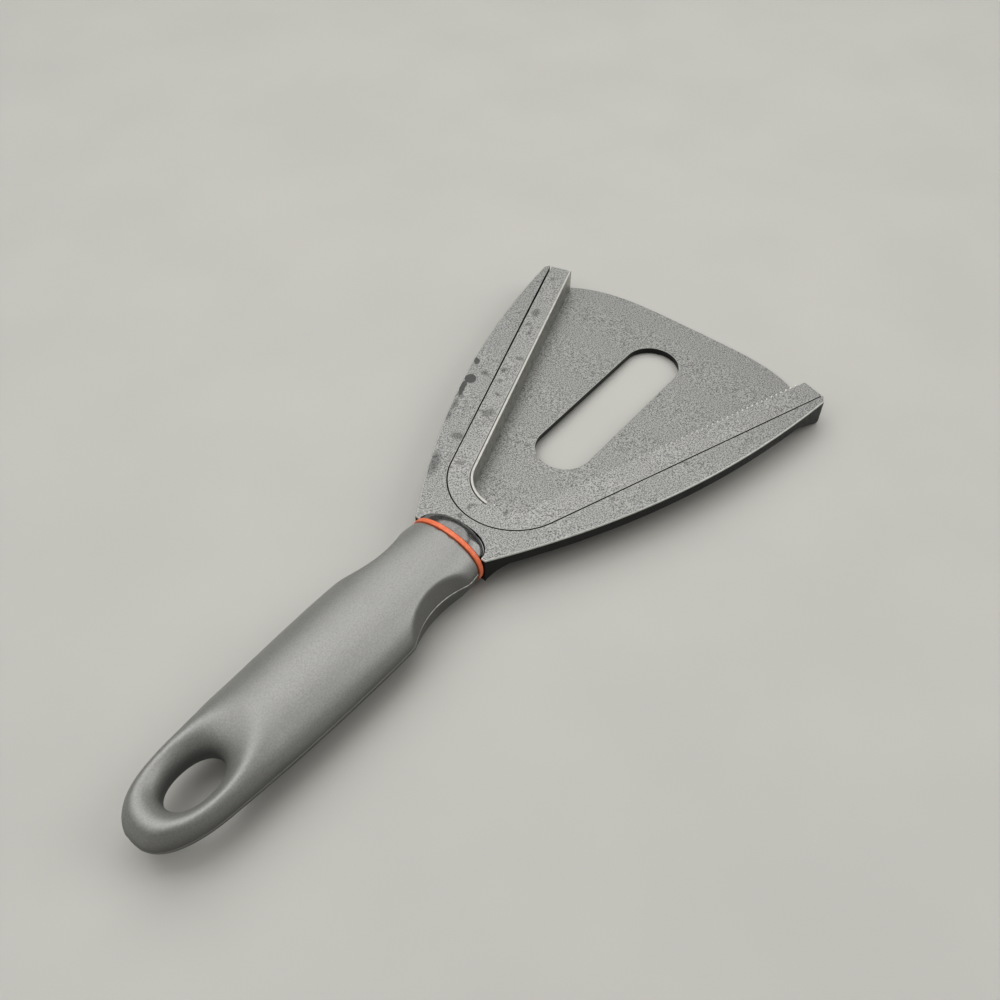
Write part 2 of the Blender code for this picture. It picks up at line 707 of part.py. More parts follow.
def main():
    for old in list(bpy.data.objects):
        bpy.data.objects.remove(old, do_unlink=True)
    tool = bpy.data.objects.new("tool", None)
    bpy.context.scene.collection.objects.link(tool)

    pieces = [
        make_tray(tool, finish("tray nylon", (0.058, 0.06, 0.056), 0.48)),
        make_band(tool, finish("steel", (0.62, 0.61, 0.58), 0.3, metallic=1.0)),
        make_strip(tool, finish("toothed steel", (0.6, 0.59, 0.56), 0.35, metallic=1.0)),
        make_frame(tool, finish("frame nylon", (0.05, 0.053, 0.05), 0.48)),
        make_collar(tool, finish("glossy black", (0.012, 0.012, 0.012), 0.12, coat=0.6)),
        make_ring(tool, finish("orange red", (0.62, 0.075, 0.03), 0.4)),
        make_core(tool, finish("core plastic", (0.04, 0.04, 0.04), 0.5)),
        make_grip(tool, finish("soft rubber", (0.07, 0.072, 0.067), 0.55)),
    ]
    lay_down(tool, pieces)


main()
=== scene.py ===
# Hand opener for jar lids, with its finishes, lying on a pale table.
# Everything here is in millimetres in the tool's own frame: x from the handle to the jaw's mouth,
# y to the left, z up, starting under the middle of the jaw's heel. settle() puts it in the world.

import json
from math import atan2, ceil, copysign, cos, pi, radians, sin, sqrt

import bmesh
import bpy
from mathutils import Matrix, Vector
from mathutils.geometry import interpolate_bezier


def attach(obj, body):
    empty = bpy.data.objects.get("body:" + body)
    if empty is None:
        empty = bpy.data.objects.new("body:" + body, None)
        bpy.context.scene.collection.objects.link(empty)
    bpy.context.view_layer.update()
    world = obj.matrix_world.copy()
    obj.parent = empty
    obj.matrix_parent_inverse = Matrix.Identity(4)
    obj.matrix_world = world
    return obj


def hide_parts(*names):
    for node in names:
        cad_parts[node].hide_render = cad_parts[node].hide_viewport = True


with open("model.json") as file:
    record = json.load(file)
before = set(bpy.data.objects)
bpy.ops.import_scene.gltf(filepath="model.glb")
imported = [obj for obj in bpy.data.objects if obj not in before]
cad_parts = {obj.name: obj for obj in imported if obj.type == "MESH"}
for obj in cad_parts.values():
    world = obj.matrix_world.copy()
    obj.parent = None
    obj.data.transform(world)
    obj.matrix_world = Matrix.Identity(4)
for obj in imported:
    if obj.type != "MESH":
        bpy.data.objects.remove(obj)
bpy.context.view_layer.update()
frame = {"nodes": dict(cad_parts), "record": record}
print("frame loaded with", len(frame["nodes"]), "nodes")

mm = 0.001
underside = next(m for m in frame["record"]["mounts"] if m["name"] == "underside")
mountAhead = 8.0  # the underside's mount, ahead of the heel's middle
lean = atan2(-underside["axis"][0], -underside["axis"][2])
forward = Vector((cos(lean), 0, -sin(lean)))
heelPlace = Vector(underside["pos_m"]) - forward * mountAhead * mm
upward = Vector((sin(lean), 0, cos(lean)))
toolPlace = Matrix.Translation(heelPlace) @ Matrix.Rotation(lean, 4, "Y") @ Matrix.Scale(mm, 4)


# Mesh helpers

def buildMesh(name, points, faces):
    mesh = bpy.data.meshes.new(name)
    mesh.from_pydata([tuple(p) for p in points], [], faces)
    piece = bpy.data.objects.new(name, mesh)
    bpy.context.scene.collection.objects.link(piece)
    return piece


def skin(name, rings, closed=False):  # a row of rings with equally many points, capped at its ends
    size = len(rings[0])
    points = [p for ring in rings for p in ring]
    pairs = [(i, i + 1) for i in range(len(rings) - 1)] + ([(len(rings) - 1, 0)] if closed else [])
    faces = []
    for a, b in pairs:
        for k in range(size):
            n = (k + 1) % size
            faces.append((a * size + k, a * size + n, b * size + n, b * size + k))
    if not closed:
        faces.append(tuple(range(size)))
        faces.append(tuple(reversed(range((len(rings) - 1) * size, len(rings) * size))))
    return outward(buildMesh(name, points, faces))


def outward(piece):  # makes all faces point out of the closed body
    bm = bmesh.new()
    bm.from_mesh(piece.data)
    bmesh.ops.remove_doubles(bm, verts=bm.verts, dist=1e-5)
    bmesh.ops.dissolve_degenerate(bm, edges=bm.edges, dist=1e-6)
    bmesh.ops.recalc_face_normals(bm, faces=bm.faces)
    bm.to_mesh(piece.data)
    bm.free()
    return piece


def bake(piece):  # makes the modifiers part of the mesh
    graph = bpy.context.evaluated_depsgraph_get()
    mesh = bpy.data.meshes.new_from_object(piece.evaluated_get(graph))
    piece.modifiers.clear()
    piece.data = mesh
    return piece


def carve(piece, tool, operation="DIFFERENCE"):
    modifier = piece.modifiers.new("carve", "BOOLEAN")
    modifier.object = tool
    modifier.operation = operation
    bake(piece)
    bpy.data.objects.remove(tool)
    return piece


def soften(piece, width, steps, pick):  # rounds the sharp edges whose middle is picked
    bm = bmesh.new()
    bm.from_mesh(piece.data)
    edges = [e for e in bm.edges if len(e.link_faces) == 2 and e.calc_face_angle() > radians(40)
             and pick((e.verts[0].co + e.verts[1].co) / 2)]
    bmesh.ops.bevel(bm, geom=edges, offset=width, segments=steps, profile=0.5, affect="EDGES")
    bm.to_mesh(piece.data)
    bm.free()
    return piece


def settle(piece, node, material, sharp=34):
    piece.data.transform(toolPlace)
    piece.data.materials.clear()
    piece.data.materials.append(material)
    piece.data.shade_smooth()
    piece.data.set_sharp_from_angle(angle=radians(sharp))
    level = piece.modifiers.new("level faces", "WEIGHTED_NORMAL")
    level.keep_sharp = True
    bake(piece)
    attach(piece, "root")
    if node:
        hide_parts(node)
    return piece


def arc(centre, radius, start, end, steps):  # angles in degrees
    turn = [radians(start + (end - start) * k / steps) for k in range(steps + 1)]
    return [(centre[0] + radius * cos(a), centre[1] + radius * sin(a)) for a in turn]


def ease(low, high, value):  # 0 below low, 1 above high, smooth between
    t = min(max((value - low) / (high - low), 0.0), 1.0)
    return t * t * (3 - 2 * t)


def curved(share, power):  # a sine or cosine bent for a rounded oval
    return copysign(abs(share) ** (2 / power), share)


def oval(halfWidth, rise, drop, topPower, bellyPower, count):
    points = []
    for k in range(count):
        a = 2 * pi * (k + 0.5) / count
        power, height = (topPower, rise) if sin(a) > 0 else (bellyPower, drop)
        points.append((halfWidth * curved(cos(a), power), height * curved(sin(a), power)))
    return points


# The jaw's line: straight walls tangent to a round heel

jaw = {
    "halfAngle": 20.08,
    "heelRadius": 12.9,
    "wallWidth": 8.15,
    "reach": 96.7,
    "tipLean": 0.31,
    "deck": 10.3,
    "plate": 2.4,
    "wallFoot": 1.6,
    "seam": 0.44,
    "seamAtLeftTip": 0.75,
    "heelSteps": 40,
    "wallSteps": 50,
}
halfAngle = radians(jaw["halfAngle"])
seamRadius = jaw["heelRadius"] + jaw["wallWidth"]
mouthY = (jaw["heelRadius"] + jaw["reach"] * sin(halfAngle)) / cos(halfAngle)
heelUnit = jaw["heelRadius"] * (pi / 2 - halfAngle)


def wallLength(offset):
    reach = jaw["reach"] + jaw["tipLean"] * (mouthY - offset * cos(halfAngle))
    return (reach + offset * sin(halfAngle)) / (cos(halfAngle) + jaw["tipLean"] * sin(halfAngle))


def jawPoint(place, offset):  # -2 is the left tip, -1 to 1 goes round the heel, 2 is the right tip
    side = 1 if place < 0 else -1
    if abs(place) <= 1:
        a = pi - abs(place) * (pi / 2 - halfAngle)
        return offset * cos(a), side * offset * sin(a)
    along = (abs(place) - 1) * wallLength(offset)
    return (-offset * sin(halfAngle) + along * cos(halfAngle),
            side * (offset * cos(halfAngle) + along * sin(halfAngle)))


def jawPlaces(start=-2.0, end=2.0):
    walls = [k / jaw["wallSteps"] for k in range(jaw["wallSteps"])]
    heel = [k / jaw["heelSteps"] for k in range(-jaw["heelSteps"], jaw["heelSteps"] + 1)]
    places = [-2 + w for w in walls] + heel + [2 - w for w in reversed(walls)]
    return [start] + [p for p in places if start + 0.004 < p < end - 0.004] + [end]


def seamSpread(place):  # the gap between the tray and the frame opens towards the left tip
    return jaw["seam"] / 2 + (jaw["seamAtLeftTip"] - jaw["seam"]) * ease(1.0, 2.05, -place)


# Shader maths

class Wire:  # a socket that takes part in sums
    def __init__(self, bench, socket):
        self.bench, self.socket = bench, socket

    def maths(self, operation, *others):
        return self.bench.add("Math", {"operation": operation}, dict(enumerate((self, *others))))

    def swapped(self, operation, other):
        return self.bench.add("Math", {"operation": operation}, {0: other, 1: self})

    def __add__(self, other):
        return self.maths("ADD", other)

    def __sub__(self, other):
        return self.maths("SUBTRACT", other)

    def __rsub__(self, other):
        return self.swapped("SUBTRACT", other)

    def __mul__(self, other):
        return self.maths("MULTIPLY", other)

    def __truediv__(self, other):
        return self.maths("DIVIDE", other)

    def __rtruediv__(self, other):
        return self.swapped("DIVIDE", other)

    __radd__ = __add__
    __rmul__ = __mul__


class Bench:  # a material being made
    def __init__(self, name):
        self.material = bpy.data.materials.new(name)
        self.material.use_nodes = True
        self.tree = self.material.node_tree
        self.shader = self.tree.nodes["Principled BSDF"]
        self.spot = self.add("TexCoord", output="Object")

    def add(self, kind, settings={}, inputs={}, output=0):
        node = self.tree.nodes.new("ShaderNode" + kind)
        for name, value in settings.items():
            setattr(node, name, value)
        for name, value in inputs.items():
            self.feed(node.inputs[name], value)
        return Wire(self, node.outputs[output])

    def feed(self, socket, value):
        if isinstance(value, Wire):
            self.tree.links.new(value.socket, socket)
            return
        if isinstance(value, tuple) and len(socket.default_value) == 4:
            value = (*value, 1)
        socket.default_value = value

    def noise(self, size, detail=2.0, rough=0.5, warp=0.0, where=None):  # size in mm
        inputs = {"Vector": where or self.spot, "Scale": 1 / (size * mm), "Detail": detail,
                  "Roughness": rough, "Distortion": warp}
        return self.add("TexNoise", {}, inputs)

    def ramp(self, value, low, high, bottom=0.0, top=1.0):
        return self.add("MapRange", {"interpolation_type": "SMOOTHSTEP"},
                        {0: value, 1: low, 2: high, 3: bottom, 4: top})

    def blend(self, share, under, over):
        return self.add("Mix", {"data_type": "RGBA"}, {0: share, 6: under, 7: over}, output=2)

    def stretched(self, sizes):
        return self.add("VectorMath", {"operation": "MULTIPLY"}, {0: self.spot, 1: sizes})

    def facing(self, way):  # how far the surface faces along a direction of the world
        normal = self.add("NewGeometry", output="Normal")
        return self.add("VectorMath", {"operation": "DOT_PRODUCT"}, {0: normal, 1: way}, output="Value")

    def reach(self, way):  # how far along a direction the spot lies from the tool's origin, in mm
        along = self.add("VectorMath", {"operation": "DOT_PRODUCT"}, {0: self.spot, 1: way},
                         output="Value")
        return (along - heelPlace.dot(way)) / mm

    def bump(self, height, depth, strength=1.0):  # depth in mm
        inputs = {"Height": height, "Distance": depth * mm, "Strength": strength}
        return self.add("Bump", {}, inputs)

    def finish(self, **values):
        for name, value in values.items():
            self.feed(self.shader.inputs[name.replace("_", " ")], value)
        return self.material


# Finishes

nylonFinish = {
    "grain": 0.42,         # size of the moulded grain in mm, and of the larger mottling
    "mottle": 1.5,
    "cloud": 12.0,
    "grainRange": (0.28, 0.66),
    "light": 2.3,          # the grain's light and dark, as shares of the colour
    "dark": 0.3,
    "depth": 0.06,
    "roughness": 0.36,
    "mottleRough": 0.1,    # what the mottling and the clouds add to the roughness
    "cloudRough": 0.08,
    "ior": 1.2,
    "coatRoughness": 0.4,
    "coatIor": 2.85,
    "sheen": 1.0,
    "sideSheen": 0.0,      # steep sides shine less than what lies flat
    "flatRange": (0.35, 0.9),
    "lowSheen": 0.84,      # and the plate less than the decks above it
    "highRange": (4, 8),   # heights in mm
    # painted shade: the darker colour that the steep sides take
    "side": (0.014, 0.0145, 0.014),
    # painted highlight: a light colour on the rounded edges of the decks and of the window's rim
    "paintedEdgeHighlight": (0.62, 0.62, 0.59),
    "edgeStart": (0.02, 0.2),
    "edgeStop": (0.965, 0.99),
    "deckEdge": (9.5, 9.8),
    "plateEdgeFoot": (1.8, 2),
    "plateEdgeTop": (2.6, 2.9),
    "plateEdgeShare": 0.6,
    "wetShare": 0.85,      # how much water and smudges take from the shine
    "smudgeShare": 0.5,
    "smudgeDark": 0.5,
}

marks = {  # water and smudges on the decks: x, y, half length, half width in mm, turn in degrees
    "wet": [(34.5, 44.1, 1.8, 1.1, -140), (26.2, 40.1, 2.1, 2.4, -51), (21.2, 39.2, 4.5, 1.0, -159)],
    "smudged": [
        (17.7, 36.9, 1.5, 1.8, -51), (13.5, 35.9, 4.2, 1.5, -160), (8.2, 34.2, 4.0, 1.3, -159),
        (36.9, 33.9, 2.3, 1.7, -5), (44.7, 33.5, 2.1, 1.3, -64), (17.2, 24.9, 3.6, 2.8, -36),
        (31.7, 31.6, 1.4, 1.2, -51), (26.1, 27.8, 1.9, 1.1, -95), (31.2, 37.7, 2.2, 1.5, -92),
        (2.7, 25.5, 3.2, 2.3, -76), (-11.2, 23.8, 8.0, 3.0, -156), (-5.9, 17.5, 2.3, 1.0, -67),
        (-18.2, 3.3, 1.9, 0.9, -153), (-16.7, 3.2, 2.0, 0.8, -40), (-12.7, -6.7, 1.9, 1.4, 1),
        (-22.5, 3.4, 1.6, 1.3, -65), (68.2, 44.3, 3.4, 2.0, 20), (61.3, 42.3, 1.8, 1.3, -30),
        (88.1, 51.7, 1.6, 1.2, 10), (57.8, 39.2, 1.2, 0.8, 30),
    ],
    "wetCore": 0.85,       # the share of a mark that is full, the rest fades out
    "smudgeCore": 0.3,
    "warp": 1.1,
    "warpSize": 2.2,
    "reach": 3.0,
}


def spots(bench, places, inner):  # a mask of marks whose outlines waver
    warp = marks["warp"] * mm
    wave = bench.add("TexNoise", {}, {"Vector": bench.spot, "Scale": 1 / (marks["warpSize"] * mm)},
                     output="Color")
    place = bench.add("VectorMath", {"operation": "MULTIPLY_ADD"},
                      {0: wave, 1: (warp, warp, warp), 2: bench.spot})
    mask = None
    for x, y, length, width, turn in places:
        centre = toolPlace @ Vector((x, y, jaw["deck"])) + Vector((warp, warp, warp)) / 2
        sizes = Vector((length, width, marks["reach"])) * mm
        near = bench.add("Mapping", {"vector_type": "TEXTURE"},
                         {"Vector": place, "Location": centre, "Scale": sizes,
                          "Rotation": (0, 0, radians(turn))})
        distance = bench.add("VectorMath", {"operation": "LENGTH"}, {0: near}, output="Value")
        spot = 1 - bench.ramp(distance, inner, 1.0)
        mask = mask.maths("MAXIMUM", spot) if mask else spot
    return mask


def nylon(name, colour):
    bench = Bench(name)
    look = nylonFinish
    grain = bench.noise(look["grain"], 2, 0.6)
    mottle = bench.noise(look["mottle"], 3, 0.6)
    cloud = bench.noise(look["cloud"], 3, 0.55)
    tone = bench.ramp(grain, *look["grainRange"])
    facing = bench.facing(upward)
    flat = bench.ramp(facing, *look["flatRange"])
    height = bench.reach(upward)
    high = bench.ramp(height, *look["highRange"])
    rounded = bench.ramp(facing, *look["edgeStart"]) * (1 - bench.ramp(facing, *look["edgeStop"]))
    low = (1 - bench.ramp(height, *look["plateEdgeTop"])) * bench.ramp(height, *look["plateEdgeFoot"])
    edge = rounded * (bench.ramp(height, *look["deckEdge"]) + look["plateEdgeShare"] * low)
    wet = spots(bench, marks["wet"], marks["wetCore"])
    smudged = spots(bench, marks["smudged"], marks["smudgeCore"])
    light = tuple(c * look["light"] for c in colour)
    dark = tuple(c * look["dark"] for c in colour)
    paint = bench.blend(tone, dark, light)
    # painted shade: what faces sideways gets the darker side colour
    paint = bench.blend(flat, look["side"], paint)
    paint = bench.blend(smudged * look["smudgeDark"], paint, dark)
    paint = bench.blend(wet, paint, colour)
    # painted highlight: the rounded edges are coloured light
    paint = bench.blend(edge * (0.4 + 0.6 * mottle), paint, look["paintedEdgeHighlight"])
    rough = look["roughness"] + look["mottleRough"] * bench.ramp(mottle, 0.35, 0.7)
    rough = rough + look["cloudRough"] * bench.ramp(cloud, 0.4, 0.7)
    shine = look["sideSheen"] + (look["sheen"] - look["sideSheen"]) * flat * (0.25 + 1.0 * tone)
    shine = shine * (look["lowSheen"] + (1 - look["lowSheen"]) * high)
    shine = shine * (1 - look["wetShare"] * wet) * (1 - look["smudgeShare"] * smudged)
    return bench.finish(Base_Color=paint, Roughness=rough, IOR=look["ior"], Coat_Weight=shine,
                        Coat_Roughness=look["coatRoughness"], Coat_IOR=look["coatIor"],
                        Normal=bench.bump(grain + 0.3 * mottle, look["depth"]))


steelFinish = {
    "worn": (0.16, 0.16, 0.15),
    "dark": (0.33, 0.333, 0.315),
    "light": (0.55, 0.55, 0.52),
    "streak": 0.7,         # size of the rolling marks in mm, drawn out along the strip
    "streakStretch": (0.35, 0.35, 2.5),
    "wornPatch": 2.2,
    "wornShare": 0.4,
    "roughness": 0.4,
    "depth": 0.03,
}


def springSteel(name, cutEdgeHighlight):  # upward faces are coloured lighter than the face: the sheared edge's own brightness and a painted highlight
    bench = Bench(name)
    look = steelFinish
    along = bench.stretched(look["streakStretch"])
    streak = bench.noise(look["streak"], 4, 0.6, where=along)
    smudge = bench.ramp(bench.noise(look["wornPatch"], 3, 0.6), 0.5, 0.66)
    paint = bench.blend(bench.ramp(streak, 0.35, 0.65), look["dark"], look["light"])
    paint = bench.blend(smudge * look["wornShare"], paint, look["worn"])
    # painted highlight: what faces up takes the light top colour
    top = bench.ramp(bench.facing(upward), 0.3, 0.7)
    paint = bench.blend(top * (0.6 + 0.4 * streak), paint, cutEdgeHighlight)
    rough = look["roughness"] + 0.12 * streak + 0.1 * smudge
    return bench.finish(Base_Color=paint, Metallic=1.0, Roughness=rough,
                        Normal=bench.bump(streak, look["depth"]))


glossFinish = {
    "black": (0.012, 0.012, 0.011),
    "smear": 1.5,          # size of the finger smears in mm, and of the dust
    "dust": 0.35,
    "dustColour": (0.2, 0.19, 0.17),
    "dustShare": 0.3,
    "polish": 0.07,
    "coatRoughness": 0.15,
    "coatIor": 2.2,
    "depth": 0.22,
}


def glossBlack():
    bench = Bench("gloss black")
    look = glossFinish
    smear = bench.noise(look["smear"], 4, 0.7)
    dust = bench.ramp(bench.noise(look["dust"], 2, 0.5), 0.64, 0.74)
    paint = bench.blend(dust * look["dustShare"], look["black"], look["dustColour"])
    rough = look["polish"] + 0.2 * bench.ramp(smear, 0.42, 0.68) + 0.3 * dust
    shine = 0.65 + 0.35 * bench.ramp(smear, 0.35, 0.6)
    return bench.finish(Base_Color=paint, Roughness=rough, IOR=1.5, Coat_Weight=shine,
                        Coat_Roughness=look["coatRoughness"], Coat_IOR=look["coatIor"],
                        Normal=bench.bump(smear, look["depth"]))


ringFinish = {
    "deep": (0.82, 0.15, 0.05),
    "bright": (0.95, 0.21, 0.08),
    "haze": 1.4,
    "grain": 0.3,
    "roughness": 0.4,
    "coat": 0.2,
    "coatRoughness": 0.3,
    "depth": 0.02,
}


def ringPlastic():
    bench = Bench("orange red")
    look = ringFinish
    haze = bench.noise(look["haze"], 4, 0.6)
    grain = bench.noise(look["grain"], 2, 0.6)
    paint = bench.blend(bench.ramp(haze, 0.35, 0.7), look["deep"], look["bright"])
    rough = look["roughness"] + 0.12 * haze
    return bench.finish(Base_Color=paint, Roughness=rough, Coat_Weight=look["coat"],
                        Coat_Roughness=look["coatRoughness"],
                        Normal=bench.bump(grain, look["depth"]))


rubberFinish = {
    "dark": (0.095, 0.096, 0.089),
    "light": (0.14, 0.142, 0.131),
    "bare": (0.08, 0.081, 0.075),
    # painted shade: the darker colour of the steep sides
    "side": (0.024, 0.025, 0.023),
    "bareShare": 0.35,
    "grain": 0.45,         # sizes in mm
    "mottle": 1.7,
    "cloud": 16.0,
    "flatRange": (0.0, 0.72),
    "roughness": 0.48,
    "mottleRough": 0.1,
    "cloudRough": 0.06,
    "ior": 1.33,
    "coatRoughness": 0.5,
    "coatIor": 2.95,
    "sideSheen": 0.35,
    "depth": 0.025,
}


def gripRubber():
    bench = Bench("grip rubber")
    look = rubberFinish
    grain = bench.noise(look["grain"], 2, 0.6)
    mottle = bench.noise(look["mottle"], 3, 0.6)
    cloud = bench.noise(look["cloud"], 3, 0.5)
    tone = bench.ramp(grain, 0.3, 0.7)
    flat = bench.ramp(bench.facing(upward), *look["flatRange"])
    paint = bench.blend(tone, look["dark"], look["light"])
    # painted shade: what faces sideways is coloured darker than the top
    paint = bench.blend(flat, look["side"], paint)
    paint = bench.blend(bench.ramp(cloud, 0.45, 0.7, 0, look["bareShare"]), paint, look["bare"])
    rough = look["roughness"] + look["mottleRough"] * bench.ramp(mottle, 0.35, 0.7)
    rough = rough + look["cloudRough"] * bench.ramp(cloud, 0.4, 0.7)
    shine = (look["sideSheen"] + (1 - look["sideSheen"]) * flat) * (0.86 + 0.14 * tone)
    return bench.finish(Base_Color=paint, Roughness=rough, IOR=look["ior"], Coat_Weight=shine,
                        Coat_Roughness=look["coatRoughness"], Coat_IOR=look["coatIor"],
                        Normal=bench.bump(grain + 0.5 * mottle, look["depth"]))


coreFinish = {
    "dark": (0.03, 0.03, 0.03),
    "light": (0.05, 0.05, 0.05),
    "flow": 3.0,
    "roughness": 0.45,
    "depth": 0.05,
}


def corePlastic():
    bench = Bench("core plastic")
    look = coreFinish
    flow = bench.noise(look["flow"], 3, 0.5)
    paint = bench.blend(flow, look["dark"], look["light"])
    return bench.finish(Base_Color=paint, Roughness=look["roughness"] + 0.1 * flow,
                        Normal=bench.bump(flow, look["depth"]))



# Tray: the V wall and the plate with its window

tray = {
    "colour": (0.072, 0.074, 0.068),
    "ledge": 3.5,
    "plateEnd": 1.985,     # how far the plate's sides follow the walls, 2 is at the tips
    "plateLip": 0.5,
    "plateBulge": 8.2,
    "bulgePower": 4,
    "edgeRound": 0.4,
    "windowStart": 16.9,
    "windowLength": 71.4,
    "windowWidth": 19.4,
    "windowRound": 0.22,
    "rimRound": 0.3,
    "seamRound": 0.1,
    "slotBack": 14.03,
    "slotBackAtTip": 13.88,
    "pocketBack": 14.8,
    "pocketTop": 9.5,
    "pocketEnd": 1.7,
    "heelLand": 0.6,
    "slotNarrows": (1.3, 1.6),
    "rootDepth": 0.3,
    "tipRound": 1.0,
    "endRound": 0.3,
    "endSteps": 10,
    "frontSteps": 60,
}


def rounding(radius, distance):  # how far a rounded corner has drawn in, at a distance from its end
    return radius - sqrt(max(radius**2 - max(radius - distance, 0.0) ** 2, 0.0))


def wallRing(place, inner, pocket, fromEnd=9.0):  # fromEnd counts only near a rounded end
    drawn = rounding(tray["endRound"], fromEnd)
    inner += rounding(tray["tipRound"], fromEnd)
    pocket = max(pocket, inner)
    outer = seamRadius - jaw["seam"] / 2 - drawn
    deck, root = jaw["deck"] - drawn, jaw["plate"] - tray["rootDepth"]
    profile = [(inner, jaw["wallFoot"]), (outer, jaw["wallFoot"])]
    profile += arc((outer - tray["seamRound"], deck - tray["seamRound"]), tray["seamRound"], 0, 90, 4)
    profile += arc((inner + tray["rimRound"], deck - tray["rimRound"]), tray["rimRound"], 90, 180, 5)
    profile += [(inner, tray["pocketTop"]), (pocket, tray["pocketTop"]), (pocket, root)]
    return [(*jawPoint(place, offset), z) for offset, z in profile]


def makeTray():
    land = tray["heelLand"] / heelUnit
    pocketEnd = 2 - tray["pocketEnd"] / wallLength(jaw["heelRadius"])
    unit = wallLength(jaw["heelRadius"])
    turns = [radians(90 * k / tray["endSteps"]) for k in range(tray["endSteps"] + 1)]
    ends = [tray["tipRound"] * (1 - sin(turn)) for turn in turns]
    backAtTip = tray["slotBackAtTip"]
    rings = [wallRing(-2 + d / unit, backAtTip, backAtTip, d) for d in reversed(ends)]
    for place in jawPlaces(-2 + 1.3 * tray["tipRound"] / unit, 0):
        back = tray["slotBack"] + (backAtTip - tray["slotBack"]) * ease(*tray["slotNarrows"], -place)
        rings.append(wallRing(place, back, back))
    face = jaw["heelRadius"]
    rings += [wallRing(0.0, face, face), wallRing(land, face, face)]
    rings += [wallRing(place, face, tray["pocketBack"]) for place in jawPlaces(land, pocketEnd)]
    rings += [wallRing(pocketEnd, face, face)]
    rings += [wallRing(2 - d / unit, face, face, d) for d in ends]
    wall = skin("jaw_tray_wall", rings)

    offset = seamRadius - jaw["seam"] / 2 - tray["ledge"]
    end = tray["plateEnd"]
    places = [-end] + [place for place in jawPlaces(-end, end) if abs(place) <= 1] + [end]
    side = [jawPoint(place, offset) for place in places]
    corner = mouthY + jaw["tipLean"] * tray["plateLip"]
    front = []
    for k in range(tray["frontSteps"] + 1):
        y = corner * (2 * k / tray["frontSteps"] - 1)
        bulge = tray["plateBulge"] * (1 - (abs(y) / mouthY) ** tray["bulgePower"])
        front.append((jaw["reach"] + tray["plateLip"] + bulge, y))
    rings = []
    thick, edge = jaw["plate"], tray["edgeRound"]
    levels = arc((0, edge), edge, -90, 0, 5) + arc((0, thick - edge), edge, 0, 90, 5)
    for inset, z in levels:
        rings.append([(x, y, z) for x, y in side] + [(x + inset - edge, y, z) for x, y in front])
    plate = skin("jaw_tray", rings)

    carve(plate, wall, "UNION")
    radius = tray["windowWidth"] / 2
    edge = tray["windowRound"]
    rear = tray["windowStart"] + radius
    ahead = tray["windowStart"] + tray["windowLength"] - radius
    levels = [(edge, -thick)] + arc((edge, edge), edge, -90, -180, 5)
    levels += arc((edge, thick - edge), edge, 180, 90, 5) + [(edge, 2 * thick)]
    rings = []
    for wider, z in levels:
        loop = arc((ahead, 0), radius + wider, -90, 90, 40)
        loop += arc((rear, 0), radius + wider, 90, 270, 40)
        rings.append([(x, y, z) for x, y in loop])
    return carve(plate, skin("window", rings))


settle(makeTray(), "jaw_tray", nylon("tray nylon", tray["colour"]))
print("tray made")


# Steel band of the left wall

band = {
    # the top's colour, lighter than the face partly as painted highlight
    "cutEdgeHighlight": (0.52, 0.52, 0.49),
    "thick": 0.9,
    "foot": 2.42,
    "top": 10.45,
    "tipGap": 0.3,
    "edgeRound": 0.16,
    "endRound": 1.1,
    "endSteps": 8,
}


def makeBand():
    inner, outer = jaw["heelRadius"], jaw["heelRadius"] + band["thick"]
    begin = -2 + band["tipGap"] / wallLength(inner)
    rounded = band["endRound"] / heelUnit
    sections = [(p, 0.0) for p in jawPlaces(begin, 0.0) if p < -rounded]
    for k in range(band["endSteps"] + 1):
        a = pi / 2 * k / band["endSteps"]
        sections.append((-rounded * (1 - sin(a)), band["endRound"] * (1 - cos(a))))
    r = band["edgeRound"]
    rings = []
    for place, fall in sections:
        high = band["top"] - fall
        profile = [(inner, band["foot"]), (outer, band["foot"])]
        profile += arc((outer - r, high - r), r, 0, 90, 5)
        profile += arc((inner + r, high - r), r, 90, 180, 5)
        rings.append([(*jawPoint(place, offset), z) for offset, z in profile])
    return skin("steel_band", rings)


settle(makeBand(), "steel_band", springSteel("band steel", band["cutEdgeHighlight"]))
print("band made")


# Toothed strip of the right wall

strip = {
    # painted highlight: near-white tops for the glints on the teeth
    "cutEdgeHighlight": (1.0, 1.0, 0.96),
    "tip": 12.35,
    "depth": 1.15,
    "thick": 1.0,
    "pitch": 2.1,
    "start": 0.9,
    "endMargin": 2.0,
    "foot": 2.42,
    "top": 9.2,
    "crown": 10.3,         # the tips stand higher in front of the wall's lip
    "lipClear": 0.05,
    "crestFlat": 0.17,     # half the crest's width, as a share of the pitch
    "crestFall": 0.12,
    "crownLean": 0.35,
    "topRound": 0.12,
}


